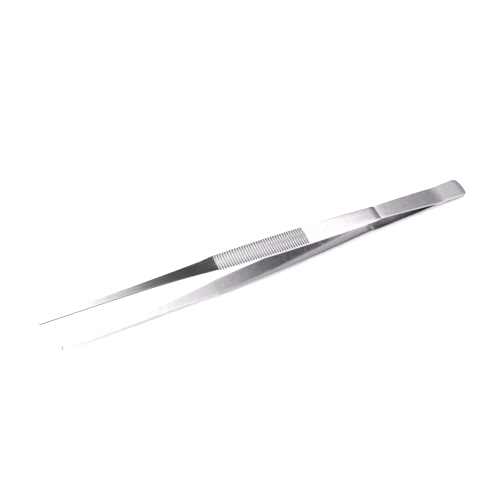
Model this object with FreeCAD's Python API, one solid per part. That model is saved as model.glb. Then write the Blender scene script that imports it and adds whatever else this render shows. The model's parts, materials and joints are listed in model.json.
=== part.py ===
import FreeCAD, Part

import math
import os

from FreeCAD import Vector

# Long straight tweezers: two identical steel strips, spot welded face to face at the heel.
# Lengths are in millimetres, angles in degrees.
#
# A strip is first drawn in its own frame. x runs from the heel end to the tip, y is across the
# strip, and z is the distance outwards from the plane midway between the two strips.

# Stations along a strip
OVERALL_LENGTH = 270.0
WELD_END = 18.0          # the welded tabs end here and the spring leaves begin
LEAF_BEND = 8.0          # length of the bend at the root of a leaf
SHOULDER = 70.0          # the thin leaf ends here
SHOULDER_RUN = 3.0       # length of the ramp up to the thick body
GRIP_FRONT = 177.5       # the body ends at a crisp bend, and the shank begins

# Half widths
HEEL_HALF_WIDTH = 6.9
HEEL_END_SAGITTA = 1.5   # how far the arc across the heel end bulges
HEEL_CORNER_RADIUS = 3.0
WAIST_HALF_WIDTH = 4.8   # narrowest place behind the shank, at the shoulder and at the bend
GRIP_BULGE = 1.0         # how much the half width grows midway between those two places
FLARE = 1.8              # extra half width where the shank meets the body
FLARE_POWER = 4.0        # how quickly the flare dies away
TIP_HALF_WIDTH = 1.5

# Thickness
LEAF_THICKNESS = 1.2
BODY_THICKNESS = 2.6
TIP_THICKNESS = 1.4
EDGE_BREAK = 0.2         # chamfer on the long edges
SHANK_EDGE_BREAK = 0.4   # the shank's edges are rounder

# Crown of the outer face: a level middle, with curved sides that fall away
LEVEL_SHARE = 0.4        # share of the width that is level
BODY_CROWN_RADIUS = 40.0
SHANK_CROWN_RADIUS = 12.0
CROWN_CHANGE = 8.0       # length past the bend over which the body's section becomes the shank's

# Height of the outer face above the middle plane
LEAF_RISE_ROOT = 0.165   # slope of the leaf past the bend at its root
LEAF_RISE_END = 0.082    # slope of the leaf at the shoulder
SHOULDER_RISE = 0.7      # how far the ramp at the shoulder steps outwards
BODY_FRONT_TOP = 16.8    # at the bend
SHANK_RISE_REAR = 0.062  # slope of the shank just past the bend
SHANK_RISE_TIP = 0.009   # slope of the shank at the tip

# Ribbed grip: grooves cut across the crowned outer face
GROOVE_COUNT = 37
GROOVE_PITCH = 1.5
GROOVE_WIDTH = 1.2
GROOVE_DEPTH = 0.22
GRIP_FRONT_LAND = 0.3    # plain band between the last groove and the bend

# Serrated jaw: teeth on the inner face, at the tip
TOOTH_PITCH = 1.0
TOOTH_DEPTH = 0.2
TOOTH_COUNT = 22
TOOTH_END = 1.6          # plain metal between the last tooth and the tip

# Spot welds
WELD_STATIONS = (6.5, 12.5)
WELD_RADIUS = 2.0
WELD_THICKNESS = 0.7

# Values that follow from the dimensions above
BODY_REAR = SHOULDER + SHOULDER_RUN
GRIP_REAR = GRIP_FRONT - GRIP_FRONT_LAND - GROOVE_COUNT * GROOVE_PITCH
JAW_FRONT = OVERALL_LENGTH - TOOTH_END
JAW_REAR = JAW_FRONT - TOOTH_COUNT * TOOTH_PITCH
SHANK_LENGTH = OVERALL_LENGTH - GRIP_FRONT
LEAF_START_TOP = LEAF_THICKNESS + LEAF_RISE_ROOT * LEAF_BEND / 2
LEAF_RUN = SHOULDER - WELD_END - LEAF_BEND
LEAF_TOP = LEAF_START_TOP + (LEAF_RISE_ROOT + LEAF_RISE_END) / 2 * LEAF_RUN
BODY_REAR_TOP = LEAF_TOP + SHOULDER_RISE
BODY_RISE = (BODY_FRONT_TOP - BODY_REAR_TOP) / (GRIP_FRONT - BODY_REAR)
REST_ANGLE = math.degrees(math.atan(BODY_RISE))   # the lower body lies flat on the table
ACROSS = Vector(0, 1, 0)


def half_width(x):
    """Half the width of a strip at station x."""
    if x <= SHOULDER:
        return HEEL_HALF_WIDTH + (WAIST_HALF_WIDTH - HEEL_HALF_WIDTH) * x / SHOULDER
    if x <= GRIP_FRONT:
        middle = (SHOULDER + GRIP_FRONT) / 2
        share = (x - middle) / (GRIP_FRONT - middle)
        return WAIST_HALF_WIDTH + GRIP_BULGE * (1 - share * share)
    left = (OVERALL_LENGTH - x) / SHANK_LENGTH
    slender = WAIST_HALF_WIDTH - FLARE - TIP_HALF_WIDTH
    return TIP_HALF_WIDTH + slender * left + FLARE * left ** FLARE_POWER


def curved_rise(run, length, start_rise, end_rise):
    """Height gained along a curve whose slope changes evenly from one value to another."""
    return start_rise * run + (end_rise - start_rise) * run * run / (2 * length)


def outer_height(x):
    """Height of the strip's outer face at station x, along the middle of the strip."""
    if x <= WELD_END:
        return LEAF_THICKNESS
    if x <= WELD_END + LEAF_BEND:
        return LEAF_THICKNESS + curved_rise(x - WELD_END, LEAF_BEND, 0, LEAF_RISE_ROOT)
    if x <= SHOULDER:
        run = x - WELD_END - LEAF_BEND
        return LEAF_START_TOP + curved_rise(run, LEAF_RUN, LEAF_RISE_ROOT, LEAF_RISE_END)
    if x <= BODY_REAR:
        return LEAF_TOP + SHOULDER_RISE * (x - SHOULDER) / SHOULDER_RUN
    if x <= GRIP_FRONT:
        return BODY_REAR_TOP + BODY_RISE * (x - BODY_REAR)
    run = x - GRIP_FRONT
    return BODY_FRONT_TOP + curved_rise(run, SHANK_LENGTH, SHANK_RISE_REAR, SHANK_RISE_TIP)


def thickness(x):
    """Thickness of the strip at station x."""
    if x <= SHOULDER:
        return LEAF_THICKNESS
    if x <= BODY_REAR:
        share = (x - SHOULDER) / SHOULDER_RUN
        return LEAF_THICKNESS + (BODY_THICKNESS - LEAF_THICKNESS) * share
    if x <= GRIP_FRONT:
        return BODY_THICKNESS
    share = (x - GRIP_FRONT) / SHANK_LENGTH
    return BODY_THICKNESS + (TIP_THICKNESS - BODY_THICKNESS) * share


def shank_share(x):
    """0 up to the bend, then growing to 1 as the body's section becomes the shank's."""
    run = min(1.0, max(0.0, x - GRIP_FRONT) / CROWN_CHANGE)
    return 1 - (1 - run) ** 2


def crown_fall(x, y):
    """How far the outer face has fallen away at y, outside its level middle."""
    if x <= SHOULDER:
        return 0.0
    radius = BODY_CROWN_RADIUS + (SHANK_CROWN_RADIUS - BODY_CROWN_RADIUS) * shank_share(x)
    return max(0.0, y - LEVEL_SHARE * half_width(x)) ** 2 / (2 * radius)


def edge_break(x):
    """Chamfer on the long edges at station x."""
    return EDGE_BREAK + (SHANK_EDGE_BREAK - EDGE_BREAK) * shank_share(x)


def line(start, end):
    return Part.LineSegment(start, end).toShape()


def crown_edge(start, middle, end):
    """An arc through three points, or a straight line where the face has no crown."""
    if middle.z == start.z == end.z:
        return line(start, end)
    return Part.Arc(start, middle, end).toShape()


def other_side(point):
    return Vector(point.x, -point.y, point.z)


def section(x, groove=0.0, notch=0.0):
    """Closed outline of the strip across station x: flat inside, crowned outside, edges broken.

    groove lowers the outer face, and notch raises the inner one.
    """
    width = half_width(x)
    top = outer_height(x) - groove
    bottom = outer_height(x) - thickness(x) + notch
    chamfer = edge_break(x)
    flat = width - chamfer
    level = LEVEL_SHARE * width
    halfway = (flat + level) / 2
    right = [
        Vector(x, flat, bottom),
        Vector(x, width, bottom + chamfer),
        Vector(x, width, top - crown_fall(x, width) - chamfer),
        Vector(x, flat, top - crown_fall(x, flat)),
        Vector(x, level, top),
    ]
    left = [other_side(p) for p in reversed(right)]
    middle = Vector(x, halfway, top - crown_fall(x, halfway))
    edges = [line(a, b) for a, b in zip(right[:4], right[1:4])]
    edges.append(crown_edge(right[3], middle, right[4]))
    edges.append(line(right[4], left[0]))
    edges.append(crown_edge(left[0], other_side(middle), left[1]))
    edges += [line(a, b) for a, b in zip(left[1:], left[2:])]
    edges.append(line(left[4], right[0]))
    return Part.Wire(edges)


def plain_sections(start, end, count):
    """Evenly spaced sections of a smooth length."""
    return [section(start + (end - start) * i / (count - 1)) for i in range(count)]


def grip_sections():
    """Sections of the ribbed grip: V grooves that follow the crown, with flat lands between."""
    sections = []
    for i in range(GROOVE_COUNT):
        middle = GRIP_REAR + GROOVE_PITCH * (i + 0.5)
        sections.append(section(middle - GROOVE_WIDTH / 2))
        sections.append(section(middle, groove=GROOVE_DEPTH))
        sections.append(section(middle + GROOVE_WIDTH / 2))
    return [section(GRIP_REAR)] + sections + [section(GRIP_FRONT)]


def jaw_sections():
    """Sections of the jaw: V notches across its inner face leave a row of teeth."""
    sections = []
    for i in range(TOOTH_COUNT):
        start = JAW_REAR + TOOTH_PITCH * i
        sections.append(section(start))
        sections.append(section(start + TOOTH_PITCH / 2, notch=TOOTH_DEPTH))
    return sections + [section(JAW_FRONT), section(OVERALL_LENGTH)]


def rounded_nose():
    """Everything behind the rounded end of the tip, seen from above."""
    centre = OVERALL_LENGTH - TIP_HALF_WIDTH
    foot = Vector(centre, 0, -OVERALL_LENGTH)
    nose = Part.makeCylinder(TIP_HALF_WIDTH, 2 * OVERALL_LENGTH, foot)
    corner = Vector(0, -2 * HEEL_HALF_WIDTH, -OVERALL_LENGTH)
    rest = Part.makeBox(centre, 4 * HEEL_HALF_WIDTH, 2 * OVERALL_LENGTH, corner)
    return rest.fuse(nose)


def arm():
    """The stiff part of a strip: shoulder, plain length, ribbed grip, shank and serrated jaw."""
    lengths = [
        Part.makeLoft([section(SHOULDER), section(BODY_REAR)], True, True),
        Part.makeLoft(plain_sections(BODY_REAR, GRIP_REAR, 4), True, False),
        Part.makeLoft(grip_sections(), True, True),
        Part.makeLoft(plain_sections(GRIP_FRONT, JAW_REAR, 6), True, False),
        Part.makeLoft(jaw_sections(), True, True),
    ]
    return lengths[0].fuse(lengths[1:]).common(rounded_nose())


def leaf():
    """The thin length of a strip that flexes, with a gentle bend at its root."""
    root = Part.makeLoft(plain_sections(WELD_END, WELD_END + LEAF_BEND, 5), True, False)
    rest = Part.makeLoft(plain_sections(WELD_END + LEAF_BEND, SHOULDER, 5), True, False)
    return root.fuse(rest)


def weld_nuggets():
    """The fused metal that joins the two heel tabs."""
    return [
        Part.makeCylinder(WELD_RADIUS, WELD_THICKNESS, Vector(x, 0, -WELD_THICKNESS / 2))
        for x in WELD_STATIONS
    ]


def heel_tab():
    """The flat welded end of a strip, with its rounded heel."""
    corner_width = half_width(0)
    root_width = half_width(WELD_END)
    rear = HEEL_END_SAGITTA
    outline = Part.Wire([
        Part.Arc(Vector(rear, corner_width, 0), Vector(), Vector(rear, -corner_width, 0)).toShape(),
        line(Vector(rear, -corner_width, 0), Vector(WELD_END, -root_width, 0)),
        line(Vector(WELD_END, -root_width, 0), Vector(WELD_END, root_width, 0)),
        line(Vector(WELD_END, root_width, 0), Vector(rear, corner_width, 0)),
    ])
    tab = Part.Face(outline).extrude(Vector(0, 0, LEAF_THICKNESS))
    corners = [
        e for e in tab.Edges
        if e.BoundBox.ZLength > LEAF_THICKNESS / 2 and e.BoundBox.XMax < WELD_END / 2
    ]
    tab = tab.makeFillet(HEEL_CORNER_RADIUS, corners)
    rim = [
        e for e in tab.Edges
        if e.BoundBox.ZMin > LEAF_THICKNESS / 2 and e.BoundBox.XMin < WELD_END / 2
    ]
    tab = tab.makeChamfer(EDGE_BREAK, rim)
    return tab.cut(Part.makeCompound(weld_nuggets()))


def turned_over(shape):
    """The same piece on the other side of the middle plane."""
    return shape.mirror(Vector(), Vector(0, 0, 1))


def laid_down(shape):
    """Turn a piece so that the heel points along +X and the lower body is level."""
    placed = shape.copy()
    placed.rotate(Vector(), ACROSS, -REST_ANGLE)
    placed.rotate(Vector(), Vector(0, 0, 1), 180)
    return placed


def pieces():
    """Every piece by name, in the part's own frame."""
    tab = heel_tab()
    spring = leaf()
    stiff = arm()
    drawn = {
        "upper_heel_tab": tab,
        "lower_heel_tab": turned_over(tab),
        "spot_welds": Part.makeCompound(weld_nuggets()),
        "upper_spring_leaf": spring,
        "lower_spring_leaf": turned_over(spring),
        "upper_arm": stiff,
        "lower_arm": turned_over(stiff),
    }
    placed = {name: laid_down(shape) for name, shape in drawn.items()}
    box = Part.makeCompound(list(placed.values())).optimalBoundingBox(False, False)
    origin = Vector((box.XMin + box.XMax) / 2, 0, box.ZMin)
    for shape in placed.values():
        shape.translate(-origin)
    return placed


def main():
    os.makedirs("parts", exist_ok=True)
    for name, shape in pieces().items():
        shape.exportStep(f"parts/{name}.step")


main()
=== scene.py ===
import json
import math

import bmesh
import bpy
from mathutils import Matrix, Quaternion, Vector


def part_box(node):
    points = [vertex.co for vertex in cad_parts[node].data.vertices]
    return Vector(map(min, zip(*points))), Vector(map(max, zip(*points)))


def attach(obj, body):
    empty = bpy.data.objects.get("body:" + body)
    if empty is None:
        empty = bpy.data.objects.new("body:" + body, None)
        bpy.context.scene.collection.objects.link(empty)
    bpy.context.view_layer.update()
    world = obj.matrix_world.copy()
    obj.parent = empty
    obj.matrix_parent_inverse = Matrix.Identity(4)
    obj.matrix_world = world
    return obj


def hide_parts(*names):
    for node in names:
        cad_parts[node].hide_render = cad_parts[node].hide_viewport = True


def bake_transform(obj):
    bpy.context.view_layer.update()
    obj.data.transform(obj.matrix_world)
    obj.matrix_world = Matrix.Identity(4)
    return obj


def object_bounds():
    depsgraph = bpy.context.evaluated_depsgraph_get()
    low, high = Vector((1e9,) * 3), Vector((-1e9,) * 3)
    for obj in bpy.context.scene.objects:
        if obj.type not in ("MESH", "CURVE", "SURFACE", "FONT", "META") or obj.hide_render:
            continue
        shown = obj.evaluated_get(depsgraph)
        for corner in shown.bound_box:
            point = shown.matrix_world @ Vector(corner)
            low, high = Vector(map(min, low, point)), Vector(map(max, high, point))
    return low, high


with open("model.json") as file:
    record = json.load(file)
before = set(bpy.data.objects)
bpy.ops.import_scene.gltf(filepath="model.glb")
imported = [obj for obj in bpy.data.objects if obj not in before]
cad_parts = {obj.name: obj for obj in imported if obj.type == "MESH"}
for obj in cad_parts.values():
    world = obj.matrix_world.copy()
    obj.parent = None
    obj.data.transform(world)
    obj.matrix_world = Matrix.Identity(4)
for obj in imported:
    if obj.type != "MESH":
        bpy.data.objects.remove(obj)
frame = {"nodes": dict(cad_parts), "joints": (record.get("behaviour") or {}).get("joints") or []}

# Long straight tweezers: two polished steel strips, spot welded face to face at the heel.
# Shapes are drawn in millimetres in a strip's own frame. x runs from the heel end to the tip,
# y is across the strip, and z is the distance outwards from the plane midway between the strips.

MM = 0.001
CAD_LOW, CAD_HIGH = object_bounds()

# Stations along a strip
OVERALL_LENGTH = 270.0
WELD_END = 18.0
LEAF_BEND = 8.0
SHOULDER = 70.0
SHOULDER_RUN = 3.0
GRIP_FRONT = 177.5

# Half widths
HEEL_HALF_WIDTH = 6.9
HEEL_END_SAGITTA = 1.5
HEEL_CORNER_RADIUS = 3.0
WAIST_HALF_WIDTH = 4.8
GRIP_BULGE = 1.0
FLARE = 1.8
FLARE_POWER = 4.0
TIP_HALF_WIDTH = 1.5

# Thickness and crown
LEAF_THICKNESS = 1.2
BODY_THICKNESS = 2.6
TIP_THICKNESS = 1.4
LEVEL_SHARE = 0.4
BODY_CROWN_RADIUS = 40.0
SHANK_CROWN_RADIUS = 12.0
CROWN_CHANGE = 8.0

# Height of the outer face above the middle plane
LEAF_RISE_ROOT = 0.165
LEAF_RISE_END = 0.082
SHOULDER_RISE = 0.7
BODY_FRONT_TOP = 16.8
SHANK_RISE_REAR = 0.062
SHANK_RISE_TIP = 0.009

# Grip and jaw
GROOVE_COUNT = 37
GROOVE_PITCH = 1.5
GROOVE_WIDTH = 1.2
GROOVE_EDGE_DEPTH = 0.42
GROOVE_MIDDLE_DEPTH = 0.15
# At the strip's edges a groove's bottom is this share of its half width nearer to the heel.
GROOVE_LEAN = 0.5
GRIP_FRONT_LAND = 0.3
TOOTH_PITCH = 1.0
TOOTH_DEPTH = 0.2
TOOTH_COUNT = 22
TOOTH_END = 1.6

# Values that follow from the dimensions above
BODY_REAR = SHOULDER + SHOULDER_RUN
GRIP_REAR = GRIP_FRONT - GRIP_FRONT_LAND - GROOVE_COUNT * GROOVE_PITCH
JAW_FRONT = OVERALL_LENGTH - TOOTH_END
JAW_REAR = JAW_FRONT - TOOTH_COUNT * TOOTH_PITCH
SHANK_LENGTH = OVERALL_LENGTH - GRIP_FRONT
LEAF_START_TOP = LEAF_THICKNESS + LEAF_RISE_ROOT * LEAF_BEND / 2
LEAF_START = WELD_END + LEAF_BEND
LEAF_RUN = SHOULDER - LEAF_START
LEAF_TOP = LEAF_START_TOP + (LEAF_RISE_ROOT + LEAF_RISE_END) / 2 * LEAF_RUN
BODY_REAR_TOP = LEAF_TOP + SHOULDER_RISE
BODY_RISE = (BODY_FRONT_TOP - BODY_REAR_TOP) / (GRIP_FRONT - BODY_REAR)

# Rounded edges: of the tail and the body, of the shank just past the bend, and at the tip
EDGE_RADIUS = 0.3
SHANK_EDGE_RADIUS = 0.5
TIP_EDGE_RADIUS = 1.0
TIP_INNER_RADIUS = 0.18

# Small hollows: the polished heel end falls away, and the leaf dips before the ramp
HEEL_FALL = 0.36
HEEL_FALL_RUN = 5.0
LEAF_DIP = 0.11
LEAF_DIP_RUN = 4.0

# Mesh fineness: steps round an edge or an arc, and lengths between sections
EDGE_STEPS = 5
TOP_HALF_STEPS = 8
BOTTOM_HALF_STEPS = 3
END_ARC_STEPS = 10
CORNER_ARC_STEPS = 12
NOSE_ARC_STEPS = 14
TOOTH_STEPS = 4
FINE_SPACING = 0.5
BEND_SPACING = 0.8
HEEL_SPACING = 1.5
PLAIN_SPACING = 2.0
SLOPE_STEP = 0.01
# The finish of the inner face changes within this length at the bend.
BEND_GAP = 0.05
# Sections across one groove, in half widths of the groove from its middle
GROOVE_PLACES = (-1.0, -0.92, -0.55, -0.4, -0.25, -0.1, 0.0, 0.15, 0.9, 1.0)
# Cleaning, in metres, and the angle in degrees beyond which an edge is crisp
SAME_PLACE = 1e-7
EMPTY_LENGTH = 1e-8
CRISP_ANGLE = 40

# Camera: lengths in millimetres, turns in degrees
CAMERA_AZIMUTH = -23.68
CAMERA_ELEVATION = 61.56
CAMERA_ROLL = -0.81
CAMERA_DISTANCE = 281.0
CAMERA_AIM = (-14.5, 12.55, 6.56)
CAMERA_LENS = 33.12
SENSOR = 36.0
CAMERA_NEAREST = 10.0

# Where the steel is satin, and how much shade is painted darker into it, from 0 to 1, with lengths
# in millimetres
BODY_SATIN = 0.3
INNER_SATIN = 0.5
# Painted shade on the outer face, darkest at the heel's end and fading out over a length
HEEL_PAINTED_SHADE = 0.3
HEEL_PAINTED_SHADE_FADE = 12.0
# Painted shade on the inner faces of the leaves, where the strips face each other: darkest in the
# seam between the heel tabs and towards the leaf's end
SEAM_PAINTED_SHADE = 1.0
SEAM_END = 20.0
SEAM_FADE = 4.0
LEAF_PAINTED_SHADE = 0.44
LEAF_END_PAINTED_SHADE = 0.9
LEAF_END_START = 55.0
LEAF_END_RUN = 5.0
# Painted shade on the inner faces of the body and the shank
BODY_PAINTED_SHADE = 0.3
SHANK_PAINTED_SHADE = 0.08
# Painted shade in the ends of the grip's grooves, darker towards the strip's edges
GROOVE_PAINTED_SHADE = 1.7

# Finish of the steel: sizes and depths in metres, turns in radians, colours linear. A share says
# how much one thing counts against another, and brushing how much of the grain is lengthwise.
FINE_STREAK_SIZE = (0.008, 0.00011, 0.00011)
WIDE_STREAK_SIZE = (0.017, 0.0007, 0.0007)
MOTTLE_SIZE = (0.0032, 0.0026, 0.0026)
GRAIN_SIZE = (0.0009, 0.0007, 0.0007)
SCRATCH_SIZE = (0.03, 0.0016, 0.0016)
SCRATCH_WIDTH = 0.012
SCRATCH_TURNS = (0.06, -0.4)
SCRATCH_DETAIL = 1.0
STREAK_DETAIL = 3.0
FINE_DETAIL = 4.0
NOISE_SPREAD = (0.3, 0.7)
MOTTLE_SHARE = 0.55
GRAIN_SHARE = 0.45
FINE_STREAK_SHARE = 0.4
WIDE_STREAK_SHARE = 0.6
SATIN_BRUSHING = 0.5
POLISHED_BRUSHING = 0.3
LOWER_GRAIN_SHIFT = 500
POLISHED_DARK = (0.65, 0.635, 0.65, 1)
POLISHED_LIGHT = (0.76, 0.75, 0.765, 1)
SATIN_DARK = (0.53, 0.515, 0.535, 1)
SATIN_LIGHT = (0.68, 0.665, 0.685, 1)
# Dark colours painted in for shade
PAINTED_SHADE_DARK = (0.24, 0.23, 0.25, 1)
PAINTED_SHADE_LIGHT = (0.36, 0.35, 0.375, 1)
EDGE_COLOUR = (0.78, 0.77, 0.79, 1)
EDGE_SHARE = 0.9
SCRATCH_TONE = 0.3
POLISHED_ROUGHNESS = 0.05
SATIN_ROUGHNESS = 0.22
EDGE_ROUGHNESS = 0.08
SCRATCH_ROUGHNESS = 0.08
POLISHED_SWING = 0.03
SATIN_SWING = 0.12
POLISHED_RELIEF = 0.1
SATIN_RELIEF = 1.0
SCRATCH_RELIEF = 0.5
STEEL_ANISOTROPY = 0.3
CLOUD_DEPTH = 0.000006
STREAK_DEPTH = 0.0000015
SCRATCH_DEPTH = 0.000002
WELD_RIPPLE_SIZE = (0.0006, 0.0006, 0.0006)
WELD_DARK = (0.34, 0.31, 0.3, 1)
WELD_LIGHT = (0.56, 0.53, 0.5, 1)
WELD_ROUGHNESS = (0.4, 0.6)

# Studio: lengths in metres
FLOOR_REACH = 4.0
FLOOR_GAP = 0.00002
FLOOR_CLOUD_SIZE = (0.03, 0.03, 0.03)
FLOOR_DARK = (0.93, 0.93, 0.93, 1)
FLOOR_LIGHT = (0.95, 0.95, 0.95, 1)
FLOOR_ROUGHNESS = 0.6
FLOOR_SPECULAR = 0.2
BACKDROP_RADIUS = 3.5
BACKDROP_SEGMENTS = 64
BACKDROP_RINGS = 32
BACKDROP_COLOUR = (0.92, 0.92, 0.92, 1)
BLACK = (0, 0, 0, 1)
TABLE_LIGHT_ENERGY = 14.0
TABLE_LIGHT_SIZE = 1.6
TABLE_LIGHT_HEIGHT = 1.2

# Brightness of the room by its tilt from overhead towards the heel, in degrees
OVERHEAD = (
    (0, 0.97), (2, 0.87), (5, 0.67), (9, 0.43), (12, 0.17), (15, 0.09), (19, 0.055), (24.6, 0.085),
    (25.3, 0.95), (45.2, 0.95), (46, 0.84), (47, 0.6), (48.5, 0.5), (51, 0.42), (55, 0.38),
    (58, 0.34), (61, 0.28), (68, 0.26), (75, 0.07),
)
TO_HORIZON = 90
ROOM_TINT = (1.0, 0.98, 1.005)
ROOM_STRENGTH = 1.6
DIM_ROOM = (0.022, 0.02, 0.023, 1)
NEAR_ROOM = (0.08, 0.077, 0.081, 1)
# The room fades from dim to bright between two heights (0 at the horizon, 1 overhead), and between
# two places on the viewer's side (-1 farthest out) and on the far side (1 farthest out).
HORIZON_HEIGHTS = (0.05, 0.35)
NEAR_SIDE = (-0.7, -0.58)
FAR_SIDE = (0.97, 0.84)


# ---------------------------------------------------------------- shape of a strip

def grown(run, length):
    """0 before the start of a length, then growing evenly to 1 at its end."""
    return min(1.0, max(0.0, run / length))


def half_width(x):
    """Half the width of a strip at station x."""
    if x <= SHOULDER:
        return HEEL_HALF_WIDTH + (WAIST_HALF_WIDTH - HEEL_HALF_WIDTH) * x / SHOULDER
    if x <= GRIP_FRONT:
        middle = (SHOULDER + GRIP_FRONT) / 2
        share = (x - middle) / (GRIP_FRONT - middle)
        return WAIST_HALF_WIDTH + GRIP_BULGE * (1 - share * share)
    left = (OVERALL_LENGTH - x) / SHANK_LENGTH
    slender = WAIST_HALF_WIDTH - FLARE - TIP_HALF_WIDTH
    return TIP_HALF_WIDTH + slender * left + FLARE * left ** FLARE_POWER


def curved_rise(run, length, start_rise, end_rise):
    """Height gained along a curve whose slope changes evenly from one value to another."""
    return start_rise * run + (end_rise - start_rise) * run * run / (2 * length)


def outer_height(x):
    """Height of the strip's outer face at station x, along the middle of the strip."""
    if x <= WELD_END:
        return LEAF_THICKNESS
    if x <= LEAF_START:
        return LEAF_THICKNESS + curved_rise(x - WELD_END, LEAF_BEND, 0, LEAF_RISE_ROOT)
    if x <= SHOULDER:
        run = x - LEAF_START
        return LEAF_START_TOP + curved_rise(run, LEAF_RUN, LEAF_RISE_ROOT, LEAF_RISE_END)
    if x <= BODY_REAR:
        return LEAF_TOP + SHOULDER_RISE * (x - SHOULDER) / SHOULDER_RUN
    if x <= GRIP_FRONT:
        return BODY_REAR_TOP + BODY_RISE * (x - BODY_REAR)
    run = x - GRIP_FRONT
    return BODY_FRONT_TOP + curved_rise(run, SHANK_LENGTH, SHANK_RISE_REAR, SHANK_RISE_TIP)


def thickness(x):
    """Thickness of the strip at station x."""
    if x <= SHOULDER:
        return LEAF_THICKNESS
    if x <= BODY_REAR:
        share = (x - SHOULDER) / SHOULDER_RUN
        return LEAF_THICKNESS + (BODY_THICKNESS - LEAF_THICKNESS) * share
    if x <= GRIP_FRONT:
        return BODY_THICKNESS
    share = (x - GRIP_FRONT) / SHANK_LENGTH
    return BODY_THICKNESS + (TIP_THICKNESS - BODY_THICKNESS) * share


def shank_share(x):
    """0 up to the bend, then growing to 1 as the body's section becomes the shank's."""
    return 1 - (1 - grown(x - GRIP_FRONT, CROWN_CHANGE)) ** 2


def crown_fall(x, y):
    """How far the outer face has fallen away at y, outside its level middle."""
    if x <= SHOULDER:
        return 0.0
    radius = BODY_CROWN_RADIUS + (SHANK_CROWN_RADIUS - BODY_CROWN_RADIUS) * shank_share(x)
    return max(0.0, abs(y) - LEVEL_SHARE * half_width(x)) ** 2 / (2 * radius)


def heel_fall(x):
    """How far the outer face falls away towards the heel's end."""
    return HEEL_FALL * max(0.0, 1 - x / HEEL_FALL_RUN) ** 2


def leaf_dip(x):
    """How far the leaf dips just before the ramp, and the ramp with it."""
    if x <= SHOULDER:
        return LEAF_DIP * max(0.0, 1 - (SHOULDER - x) / LEAF_DIP_RUN) ** 2
    return LEAF_DIP * max(0.0, 1 - (x - SHOULDER) / SHOULDER_RUN)


def outer_edge_radius(x):
    """Radius of the rounded edges of the outer face."""
    along_shank = grown(x - GRIP_FRONT, SHANK_LENGTH)
    shank = SHANK_EDGE_RADIUS + (TIP_EDGE_RADIUS - SHANK_EDGE_RADIUS) * along_shank
    return EDGE_RADIUS + (shank - EDGE_RADIUS) * shank_share(x)


def inner_edge_radius(x):
    """Radius of the rounded edges of the inner face."""
    return EDGE_RADIUS + (TIP_INNER_RADIUS - EDGE_RADIUS) * grown(x - GRIP_FRONT, SHANK_LENGTH)


def groove(x, y):
    """Depth of the grip's V grooves, which are deeper and lean over towards the strip's edges."""
    run = x - GRIP_REAR
    if run < 0 or run > GROOVE_COUNT * GROOVE_PITCH:
        return 0.0
    place = 2 * (run % GROOVE_PITCH - GROOVE_PITCH / 2) / GROOVE_WIDTH
    share = y / half_width(x)
    deepest = GROOVE_MIDDLE_DEPTH + (GROOVE_EDGE_DEPTH - GROOVE_MIDDLE_DEPTH) * share * share
    bottom = -GROOVE_LEAN * share * share
    wall = 1 + bottom if place < bottom else 1 - bottom
    return deepest * max(0.0, 1 - abs(place - bottom) / wall)


def notch(x):
    """Depth of the jaw's notches at station x."""
    run = x - JAW_REAR
    if run < 0 or run > TOOTH_COUNT * TOOTH_PITCH:
        return 0.0
    return TOOTH_DEPTH * (1 - abs(2 * (run % TOOTH_PITCH) / TOOTH_PITCH - 1))


def outer_face(x, y):
    """Height of the outer face at any place."""
    return outer_height(x) - crown_fall(x, y) - heel_fall(x) - leaf_dip(x) - groove(x, y)


def inner_face(x):
    """Height of the flat inner face."""
    return outer_height(x) - thickness(x) + notch(x)


# ---------------------------------------------------------------- plan outline

def arc(centre, radius, start, end, count):
    """Outline samples round an arc: place, then direction outwards.

    Angles are in radians from the direction of the heel's end.
    """
    samples = []
    for i in range(count + 1):
        angle = start + (end - start) * i / count
        out = (-math.cos(angle), math.sin(angle))
        samples.append((centre[0] + radius * out[0], centre[1] + radius * out[1], *out))
    return samples


def side(stations):
    """Outline samples along the side of a strip."""
    samples = []
    for x in stations:
        slope = (half_width(x + SLOPE_STEP) - half_width(x - SLOPE_STEP)) / (2 * SLOPE_STEP)
        length = math.hypot(1, slope)
        samples.append((x, half_width(x), -slope / length, 1 / length))
    return samples


def heel_outline():
    """Round the heel, from the middle of its end to the straight side."""
    width = half_width(0)
    root_width = half_width(WELD_END)
    end_radius = (width ** 2 + HEEL_END_SAGITTA ** 2) / (2 * HEEL_END_SAGITTA)
    slant = math.atan((width - root_width) / (WELD_END - HEEL_END_SAGITTA))
    end_centre = Vector((end_radius, 0))
    out = Vector((math.sin(slant), math.cos(slant)))
    back = Vector((-math.cos(slant), math.sin(slant)))
    start = Vector((WELD_END, root_width)) - out * HEEL_CORNER_RADIUS
    reach = end_radius - HEEL_CORNER_RADIUS
    offset = start - end_centre
    along = offset.dot(back)
    run = -along + math.sqrt(along ** 2 - offset.length_squared + reach ** 2)
    corner = start + back * run
    meeting = math.atan2(corner.y, end_centre.x - corner.x)
    end_arc = arc(end_centre, end_radius, 0, meeting, END_ARC_STEPS)
    side_turn = math.pi / 2 + slant
    corner_arc = arc(corner, HEEL_CORNER_RADIUS, meeting, side_turn, CORNER_ARC_STEPS)
    return end_arc + corner_arc[1:]


def nose_outline():
    """Round the tip, from the side to its foremost point."""
    radius = half_width(OVERALL_LENGTH - TIP_HALF_WIDTH)
    return arc((OVERALL_LENGTH - radius, 0), radius, math.pi / 2, math.pi, NOSE_ARC_STEPS)


def spaced(start, end, step):
    """Stations from start to just before end, about step apart."""
    count = max(1, round((end - start) / step))
    return [start + (end - start) * i / count for i in range(count)]


def tail_outline():
    """Heel tab and spring leaf."""
    heel = heel_outline()
    stations = spaced(heel[-1][0], WELD_END, HEEL_SPACING)[1:]
    stations += spaced(WELD_END, LEAF_START, BEND_SPACING)
    stations += spaced(LEAF_START, SHOULDER - LEAF_DIP_RUN, PLAIN_SPACING)
    stations += spaced(SHOULDER - LEAF_DIP_RUN, SHOULDER, FINE_SPACING) + [SHOULDER]
    return heel + side(stations)


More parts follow.
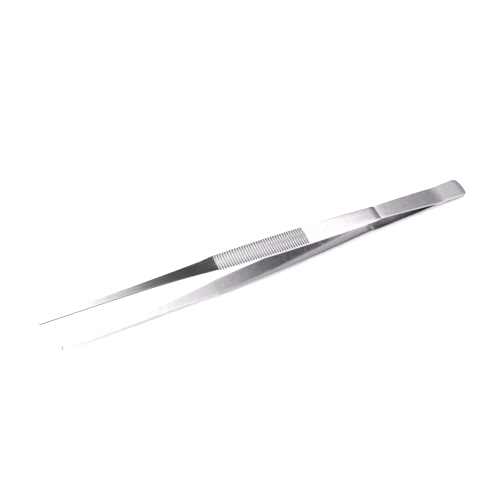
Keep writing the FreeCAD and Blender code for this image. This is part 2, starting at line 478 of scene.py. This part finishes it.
def arm_outline():
    """Shoulder, plain length, grip, shank and jaw."""
    stations = spaced(SHOULDER, BODY_REAR, FINE_SPACING)
    stations += spaced(BODY_REAR, GRIP_REAR, PLAIN_SPACING)
    for i in range(GROOVE_COUNT):
        middle = GRIP_REAR + GROOVE_PITCH * (i + 0.5)
        stations.append(middle - GROOVE_PITCH / 2)
        stations += [middle + place * GROOVE_WIDTH / 2 for place in GROOVE_PLACES]
    stations += spaced(GRIP_REAR + GROOVE_COUNT * GROOVE_PITCH, GRIP_FRONT, BEND_SPACING)
    stations += [GRIP_FRONT]
    stations += spaced(GRIP_FRONT + BEND_GAP, GRIP_FRONT + CROWN_CHANGE, BEND_SPACING)
    stations += spaced(GRIP_FRONT + CROWN_CHANGE, JAW_REAR, PLAIN_SPACING)
    stations += spaced(JAW_REAR, JAW_FRONT, TOOTH_PITCH / TOOTH_STEPS)
    return side(stations) + nose_outline()


# ---------------------------------------------------------------- mesh of a piece

def half_ring(x, w, out_x, out_y):
    """One side of a section, from the middle of the outer face round to the middle of the inner.

    The section reaches to w at station x, where the outline faces towards out_x, out_y.
    """
    points = []
    radius = outer_edge_radius(x)
    inner_radius = inner_edge_radius(x)

    def place(inset, share=1.0):
        return x - out_x * inset, (w - out_y * inset) * share

    for i in range(TOP_HALF_STEPS):
        px, py = place(radius, i / TOP_HALF_STEPS)
        points.append((px, py, outer_face(px, py)))
    for i in range(EDGE_STEPS + 1):
        angle = math.pi / 2 * i / EDGE_STEPS
        px, py = place(radius * (1 - math.sin(angle)))
        points.append((px, py, outer_face(px, py) - radius * (1 - math.cos(angle))))
    for i in range(EDGE_STEPS + 1):
        angle = math.pi / 2 * (1 - i / EDGE_STEPS)
        px, py = place(inner_radius * (1 - math.sin(angle)))
        points.append((px, py, inner_face(px) + inner_radius * (1 - math.cos(angle))))
    for i in range(BOTTOM_HALF_STEPS):
        px, py = place(inner_radius, 1 - (i + 1) / BOTTOM_HALF_STEPS)
        points.append((px, py, inner_face(px)))
    return points


def half_columns():
    """Whether each point of half_ring is on the inner face, and whether it is on an edge."""
    outer = [(0.0, 0.0)] * TOP_HALF_STEPS + [(0.0, 1.0)] * (EDGE_STEPS + 1)
    return outer + [(1.0, 1.0)] * (EDGE_STEPS + 1) + [(1.0, 0.0)] * BOTTOM_HALF_STEPS


def satin_share(x, inner):
    """0 where a strip is polished and 1 where it is satin."""
    if x <= SHOULDER:
        return 1.0
    if x > GRIP_FRONT:
        return 0.0
    return INNER_SATIN if inner else BODY_SATIN


def painted_shade_share(x, y, inner):
    """0 where the steel keeps its own colour and 1 where shade is painted darker into it.

    Shade is painted on the inner faces, where the strips face each other, and most of all in the
    seam between the heel tabs. On the outer faces it is painted in the ends of the grooves, and
    slightly at the heel.
    """
    if not inner:
        share = y / half_width(x)
        # On the outer face, shade is painted into the grooves' ends and towards the heel's end
        in_groove = GROOVE_PAINTED_SHADE * share * share * groove(x, y) / GROOVE_EDGE_DEPTH
        return min(1.0, in_groove) + HEEL_PAINTED_SHADE * grown(LEAF_START - x, HEEL_PAINTED_SHADE_FADE)
    # On the inner faces, shade is painted where the strips face each other
    if x <= SHOULDER:
        seam = (SEAM_PAINTED_SHADE - LEAF_PAINTED_SHADE) * grown(SEAM_END - x, SEAM_FADE)
        leaf_end = (LEAF_END_PAINTED_SHADE - LEAF_PAINTED_SHADE) * grown(x - LEAF_END_START, LEAF_END_RUN)
        return LEAF_PAINTED_SHADE + seam + leaf_end
    return BODY_PAINTED_SHADE if x <= GRIP_FRONT else SHANK_PAINTED_SHADE


def ring(sample):
    """A whole section, once round."""
    one = half_ring(*sample)
    other = [(x, -y, z) for x, y, z in reversed(one[1:-1])]
    return one + other


def strip_frame():
    """Origin and axes of the strips' own frame, in the row frame."""
    upper, lower = [Vector(j["pos_m"]) for j in frame["joints"]]
    out = (upper - lower).normalized()
    across = Vector((0, -1, 0))
    origin = Vector((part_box("lower_heel_tab")[1].x, 0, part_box("upper_heel_tab")[0].z))
    return origin, across.cross(out), across, out


ORIGIN, FORWARD, ACROSS, OUT = strip_frame()


def in_row_frame(point, turned_over):
    """A place on the upper or the lower strip, in metres."""
    x, y, z = point
    sign = -1 if turned_over else 1
    return ORIGIN + (FORWARD * x + ACROSS * y + OUT * z * sign) * MM


def strip_piece(name, outline, turned_over, grain_shift):
    """A closed mesh round the outline, which remembers its place along the strip for the grain."""
    rings = [ring(sample) for sample in outline]
    count = len(rings[0])
    vertices = [in_row_frame(p, turned_over) for r in rings for p in r]
    faces = []
    for i in range(len(rings) - 1):
        for j in range(count):
            k = (j + 1) % count
            face = (i * count + j, i * count + k, (i + 1) * count + k, (i + 1) * count + j)
            faces.append(face if turned_over else face[::-1])
    first = tuple(range(count))
    last = tuple(range((len(rings) - 1) * count, len(rings) * count))
    faces.append(first[::-1] if turned_over else first)
    faces.append(last if turned_over else last[::-1])
    mesh = bpy.data.meshes.new(name)
    mesh.from_pydata(vertices, [], faces)
    place = mesh.attributes.new("strip_place", "FLOAT_VECTOR", "POINT")
    flat = [c for r in rings for x, y, z in r for c in ((x + grain_shift) * MM, y * MM, z * MM)]
    place.data.foreach_set("vector", flat)
    half = half_columns()
    columns = half + half[-2:0:-1]
    places = [(p[0], p[1], *column) for r in rings for p, column in zip(r, columns)]
    add_finish(mesh, "satin", [satin_share(x, inner) for x, _, inner, _ in places])
    # How much shade is painted into the colour at each vertex
    add_finish(mesh, "painted_shade", [painted_shade_share(x, y, inner) for x, y, inner, _ in places])
    add_finish(mesh, "edge", [on_edge for _, _, _, on_edge in places])
    add_strip_uv(mesh, rings, count)
    piece = bpy.data.objects.new(name, mesh)
    bpy.context.scene.collection.objects.link(piece)
    tidy(mesh)
    return piece


def add_finish(mesh, name, shares):
    """Store one number for each vertex, for the material to read."""
    mesh.attributes.new(name, "FLOAT", "POINT").data.foreach_set("value", shares)


def add_strip_uv(mesh, rings, count):
    """A map whose first direction runs along the strip and whose second runs round it, in metres."""
    layer = mesh.uv_layers.new(name="strip")
    around = [0.0]
    middle = rings[len(rings) // 2]
    for j in range(count):
        a, b = Vector(middle[j]), Vector(middle[(j + 1) % count])
        around.append(around[-1] + (b - a).length)
    for polygon in mesh.polygons:
        if len(polygon.vertices) != 4:
            continue
        columns = [v % count for v in polygon.vertices]
        wraps = 0 in columns and count - 1 in columns
        for loop, vertex, column in zip(polygon.loop_indices, polygon.vertices, columns):
            x = rings[vertex // count][column][0]
            v = around[count] if wraps and column == 0 else around[column]
            layer.data[loop].uv = (x * MM, v * MM)


def tidy(mesh):
    """Weld coincident points, drop empty faces, and shade smooth between the crisp edges."""
    work = bmesh.new()
    work.from_mesh(mesh)
    bmesh.ops.remove_doubles(work, verts=work.verts, dist=SAME_PLACE)
    bmesh.ops.dissolve_degenerate(work, edges=work.edges, dist=EMPTY_LENGTH)
    bmesh.ops.recalc_face_normals(work, faces=work.faces)
    work.to_mesh(mesh)
    work.free()
    for polygon in mesh.polygons:
        polygon.use_smooth = True
    mesh.set_sharp_from_angle(angle=math.radians(CRISP_ANGLE))


# ---------------------------------------------------------------- materials

class Graph:
    """The nodes of one material, with short ways to add the kinds used here."""

    def __init__(self, name):
        self.material = bpy.data.materials.new(name)
        self.material.use_nodes = True
        self.nodes = self.material.node_tree.nodes
        self.links = self.material.node_tree.links
        self.shader = self.nodes["Principled BSDF"]

    def plug(self, source, target):
        """Link a socket to an input, or set the input to a value."""
        if isinstance(source, bpy.types.NodeSocket):
            self.links.new(source, target)
        else:
            target.default_value = source

    def attribute(self, name, output="Fac"):
        node = self.nodes.new("ShaderNodeAttribute")
        node.attribute_name = name
        return node.outputs[output]

    def math(self, operation, a, b, c=0.0):
        node = self.nodes.new("ShaderNodeMath")
        node.operation = operation
        for source, target in zip((a, b, c), node.inputs):
            self.plug(source, target)
        return node.outputs[0]

    def blend_two(self, a, share_of_a, b, share_of_b):
        """Two values added together, each by its share."""
        return self.math("MULTIPLY_ADD", a, share_of_a, self.math("MULTIPLY", b, share_of_b))

    def noise(self, place, size, detail=STREAK_DETAIL, turn=0.0):
        """Noise from 0 to 1 whose features are size metres long in each direction."""
        mapping = self.nodes.new("ShaderNodeMapping")
        mapping.vector_type = "TEXTURE"
        mapping.inputs["Scale"].default_value = size
        mapping.inputs["Rotation"].default_value = (0, 0, turn)
        self.links.new(place, mapping.inputs["Vector"])
        node = self.nodes.new("ShaderNodeTexNoise")
        node.inputs["Scale"].default_value = 1.0
        node.inputs["Detail"].default_value = detail
        self.links.new(mapping.outputs[0], node.inputs["Vector"])
        return self.remap(node.outputs["Fac"], *NOISE_SPREAD, 0.0, 1.0)

    def remap(self, value, low, high, to_low, to_high):
        node = self.nodes.new("ShaderNodeMapRange")
        for source, target in zip((value, low, high, to_low, to_high), node.inputs):
            self.plug(source, target)
        return node.outputs["Result"]

    def mix(self, factor, a, b):
        node = self.nodes.new("ShaderNodeMix")
        node.data_type = "RGBA"
        self.plug(factor, node.inputs["Factor"])
        self.plug(a, node.inputs["A"])
        self.plug(b, node.inputs["B"])
        return node.outputs["Result"]

    def bump(self, height, distance, strength=1.0, normal=None):
        node = self.nodes.new("ShaderNodeBump")
        self.plug(strength, node.inputs["Strength"])
        node.inputs["Distance"].default_value = distance
        self.links.new(height, node.inputs["Height"])
        if normal:
            self.links.new(normal, node.inputs["Normal"])
        return node.outputs["Normal"]


def hairlines(graph, place, turn):
    """1 on a few long, thin, slightly wavy scratches, and 0 elsewhere."""
    field = graph.noise(place, SCRATCH_SIZE, SCRATCH_DETAIL, turn)
    from_line = graph.math("ABSOLUTE", graph.math("SUBTRACT", field, 0.5), 0.0)
    return graph.remap(from_line, SCRATCH_WIDTH, 0.0, 0.0, 1.0)


def steel(name, brushing):
    """Stainless steel: polished or satin as the piece's attributes say, brushed along the strip."""
    graph = Graph(name)
    shader = graph.shader
    place = graph.attribute("strip_place", "Vector")
    satin = graph.attribute("satin")
    painted_shade = graph.attribute("painted_shade")
    edge = graph.attribute("edge")
    fine = graph.noise(place, FINE_STREAK_SIZE)
    wide = graph.noise(place, WIDE_STREAK_SIZE)
    mottle = graph.noise(place, MOTTLE_SIZE)
    grain = graph.noise(place, GRAIN_SIZE)
    lines = graph.math("MAXIMUM", *[hairlines(graph, place, turn) for turn in SCRATCH_TURNS])

    cloud = graph.blend_two(mottle, MOTTLE_SHARE, grain, GRAIN_SHARE)
    streak = graph.blend_two(fine, FINE_STREAK_SHARE, wide, WIDE_STREAK_SHARE)
    tone = graph.blend_two(streak, brushing, cloud, 1 - brushing)
    polished_colour = graph.mix(tone, POLISHED_DARK, POLISHED_LIGHT)
    satin_colour = graph.mix(tone, SATIN_DARK, SATIN_LIGHT)
    colour = graph.mix(satin, polished_colour, satin_colour)
    # Painted shade: darker where the strips face each other, in the grooves' ends and at the heel
    colour = graph.mix(painted_shade, colour, graph.mix(tone, PAINTED_SHADE_DARK, PAINTED_SHADE_LIGHT))
    colour = graph.mix(graph.math("MULTIPLY", lines, SCRATCH_TONE), colour, POLISHED_LIGHT)
    rim = graph.math("MULTIPLY", edge, graph.math("SUBTRACT", EDGE_SHARE, painted_shade))
    colour = graph.mix(rim, colour, EDGE_COLOUR)
    graph.links.new(colour, shader.inputs["Base Color"])

    rough = graph.remap(satin, 0.0, 1.0, POLISHED_ROUGHNESS, SATIN_ROUGHNESS)
    swing = graph.remap(satin, 0.0, 1.0, POLISHED_SWING, SATIN_SWING)
    rough = graph.math("MULTIPLY_ADD", graph.math("SUBTRACT", cloud, 0.5), swing, rough)
    rough = graph.math("MULTIPLY_ADD", lines, SCRATCH_ROUGHNESS, rough)
    rough = graph.remap(edge, 0.0, 1.0, rough, EDGE_ROUGHNESS)
    graph.links.new(rough, shader.inputs["Roughness"])

    relief = graph.remap(satin, 0.0, 1.0, POLISHED_RELIEF, SATIN_RELIEF)
    normal = graph.bump(cloud, CLOUD_DEPTH, relief)
    normal = graph.bump(streak, STREAK_DEPTH, relief, normal)
    cut = graph.math("SUBTRACT", 1.0, lines)
    normal = graph.bump(cut, SCRATCH_DEPTH, SCRATCH_RELIEF, normal)
    graph.links.new(normal, shader.inputs["Normal"])
    shader.inputs["Metallic"].default_value = 1.0
    shader.inputs["Anisotropic"].default_value = STEEL_ANISOTROPY
    tangent = graph.nodes.new("ShaderNodeTangent")
    tangent.direction_type = "UV_MAP"
    tangent.uv_map = "strip"
    graph.links.new(tangent.outputs["Tangent"], shader.inputs["Tangent"])
    return graph.material


def weld_metal():
    """Fused steel, dull and faintly heat tinted."""
    graph = Graph("weld_metal")
    place = graph.nodes.new("ShaderNodeTexCoord").outputs["Object"]
    ripple = graph.noise(place, WELD_RIPPLE_SIZE, FINE_DETAIL)
    graph.links.new(graph.mix(ripple, WELD_DARK, WELD_LIGHT), graph.shader.inputs["Base Color"])
    rough = graph.remap(ripple, 0.0, 1.0, *WELD_ROUGHNESS)
    graph.links.new(rough, graph.shader.inputs["Roughness"])
    graph.links.new(graph.bump(ripple, STREAK_DEPTH), graph.shader.inputs["Normal"])
    graph.shader.inputs["Metallic"].default_value = 1.0
    return graph.material


def pale_floor():
    """Matt white board with a trace of unevenness."""
    graph = Graph("pale_floor")
    place = graph.nodes.new("ShaderNodeTexCoord").outputs["Object"]
    cloud = graph.noise(place, FLOOR_CLOUD_SIZE, FINE_DETAIL)
    graph.links.new(graph.mix(cloud, FLOOR_DARK, FLOOR_LIGHT), graph.shader.inputs["Base Color"])
    graph.shader.inputs["Roughness"].default_value = FLOOR_ROUGHNESS
    graph.shader.inputs["Specular IOR Level"].default_value = FLOOR_SPECULAR
    return graph.material


# ---------------------------------------------------------------- studio

def floor():
    """A board just below the object."""
    mesh = bpy.data.meshes.new("floor")
    reach = FLOOR_REACH
    low = CAD_LOW[2] - FLOOR_GAP
    mesh.from_pydata(
        [(-reach, -reach, low), (reach, -reach, low), (reach, reach, low), (-reach, reach, low)],
        [], [(0, 1, 2, 3)],
    )
    plane = bpy.data.objects.new("floor", mesh)
    bpy.context.scene.collection.objects.link(plane)
    mesh.materials.append(pale_floor())


def backdrop():
    """A pale dome that only the camera sees, so that low views end in a plain background."""
    mesh = bpy.data.meshes.new("backdrop")
    work = bmesh.new()
    bmesh.ops.create_uvsphere(
        work, u_segments=BACKDROP_SEGMENTS, v_segments=BACKDROP_RINGS, radius=BACKDROP_RADIUS
    )
    work.to_mesh(mesh)
    work.free()
    graph = Graph("pale_backdrop")
    graph.shader.inputs["Base Color"].default_value = BLACK
    graph.shader.inputs["Specular IOR Level"].default_value = 0.0
    graph.shader.inputs["Emission Color"].default_value = BACKDROP_COLOUR
    graph.shader.inputs["Emission Strength"].default_value = 1.0
    mesh.materials.append(graph.material)
    dome = bpy.data.objects.new("backdrop", mesh)
    bpy.context.scene.collection.objects.link(dome)
    dome.visible_diffuse = False
    dome.visible_glossy = False
    dome.visible_transmission = False
    dome.visible_shadow = False


def room_tones(ramp):
    """Brightness overhead by tilt towards the heel: two broad sources with a dark gap between."""
    stops = ramp.color_ramp.elements
    first = (-TO_HORIZON, OVERHEAD[0][1])
    last = (TO_HORIZON, OVERHEAD[-1][1])
    tones = [(tilt / (2 * TO_HORIZON) + 0.5, tone) for tilt, tone in (first, *OVERHEAD, last)]
    for position, tone in tones[1:-1]:
        stops.new(position)
    for stop, (position, tone) in zip(stops, tones):
        stop.position = position
        stop.color = (*[min(1.0, tone * c) for c in ROOM_TINT], 1)


def room():
    """Light all round: bright overhead, and dim at the horizon and far out to either side."""
    world = bpy.data.worlds.new("studio")
    bpy.context.scene.world = world
    world.use_nodes = True
    nodes, links = world.node_tree.nodes, world.node_tree.links
    split = nodes.new("ShaderNodeSeparateXYZ")
    links.new(nodes.new("ShaderNodeTexCoord").outputs["Generated"], split.inputs["Vector"])
    angle = nodes.new("ShaderNodeMath")
    angle.operation = "ARCTAN2"
    links.new(split.outputs["X"], angle.inputs[0])
    links.new(split.outputs["Z"], angle.inputs[1])
    share = nodes.new("ShaderNodeMapRange")
    share.inputs["From Min"].default_value = -math.radians(TO_HORIZON)
    share.inputs["From Max"].default_value = math.radians(TO_HORIZON)
    links.new(angle.outputs[0], share.inputs["Value"])
    colour = nodes.new("ShaderNodeValToRGB")
    room_tones(colour)
    links.new(share.outputs["Result"], colour.inputs["Fac"])
    source = colour.outputs["Color"]
    fades = (
        ("Z", *HORIZON_HEIGHTS, DIM_ROOM),
        ("Y", *NEAR_SIDE, NEAR_ROOM),
        ("Y", *FAR_SIDE, DIM_ROOM),
    )
    for axis, dim, bright, tone in fades:
        fade = nodes.new("ShaderNodeMapRange")
        fade.interpolation_type = "SMOOTHSTEP"
        fade.inputs["From Min"].default_value = dim
        fade.inputs["From Max"].default_value = bright
        links.new(split.outputs[axis], fade.inputs["Value"])
        dimmed = nodes.new("ShaderNodeMix")
        dimmed.data_type = "RGBA"
        dimmed.inputs["A"].default_value = tone
        links.new(fade.outputs["Result"], dimmed.inputs["Factor"])
        links.new(source, dimmed.inputs["B"])
        source = dimmed.outputs["Result"]
    links.new(source, nodes["Background"].inputs["Color"])
    nodes["Background"].inputs["Strength"].default_value = ROOM_STRENGTH


def table_light():
    """A broad soft lamp overhead for the floor."""
    data = bpy.data.lights.new("table_light", "AREA")
    data.energy = TABLE_LIGHT_ENERGY
    data.shape = "DISK"
    data.size = TABLE_LIGHT_SIZE
    lamp = bpy.data.objects.new("table_light", data)
    lamp.location = (0, 0, TABLE_LIGHT_HEIGHT)
    lamp.visible_glossy = False
    bpy.context.scene.collection.objects.link(lamp)


def camera():
    """The view from the near side, close and from above."""
    data = bpy.data.cameras.new("camera")
    data.sensor_width = SENSOR
    data.lens = CAMERA_LENS
    data.clip_start = CAMERA_NEAREST * MM
    view = bpy.data.objects.new("camera", data)
    bpy.context.scene.collection.objects.link(view)
    azimuth, elevation = math.radians(CAMERA_AZIMUTH), math.radians(CAMERA_ELEVATION)
    back = Vector((
        math.sin(azimuth) * math.cos(elevation),
        -math.cos(azimuth) * math.cos(elevation),
        math.sin(elevation),
    ))
    view.location = Vector(CAMERA_AIM) * MM + back * CAMERA_DISTANCE * MM
    view.rotation_mode = "QUATERNION"
    level = (-back).to_track_quat("-Z", "Y")
    view.rotation_quaternion = level @ Quaternion((0, 0, 1), math.radians(CAMERA_ROLL))
    bpy.context.scene.camera = view


# ---------------------------------------------------------------- assembly

def build_strip(side_name, turned_over, grain_shift, satin, polished):
    """One strip: a tail from the heel to the arm, which stays in place, and the arm's skin."""
    tail = strip_piece(f"{side_name}_tail", tail_outline(), turned_over, grain_shift)
    tail.data.materials.append(satin)
    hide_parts(f"{side_name}_heel_tab", f"{side_name}_spring_leaf")
    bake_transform(tail)

    arm = strip_piece(f"{side_name}_arm_skin", arm_outline(), turned_over, grain_shift)
    arm.data.materials.append(polished)
    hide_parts(f"{side_name}_arm")
    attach(arm, f"{side_name}_arm")


def main():
    satin = steel("satin_steel", SATIN_BRUSHING)
    polished = steel("polished_steel", POLISHED_BRUSHING)
    build_strip("upper", False, 0, satin, polished)
    build_strip("lower", True, LOWER_GRAIN_SHIFT, satin, polished)
    welds = frame["nodes"]["spot_welds"]
    welds.data.materials.clear()
    welds.data.materials.append(weld_metal())
    floor()
    backdrop()
    room()
    table_light()
    camera()
    bpy.context.scene.view_settings.view_transform = "Standard"


main()
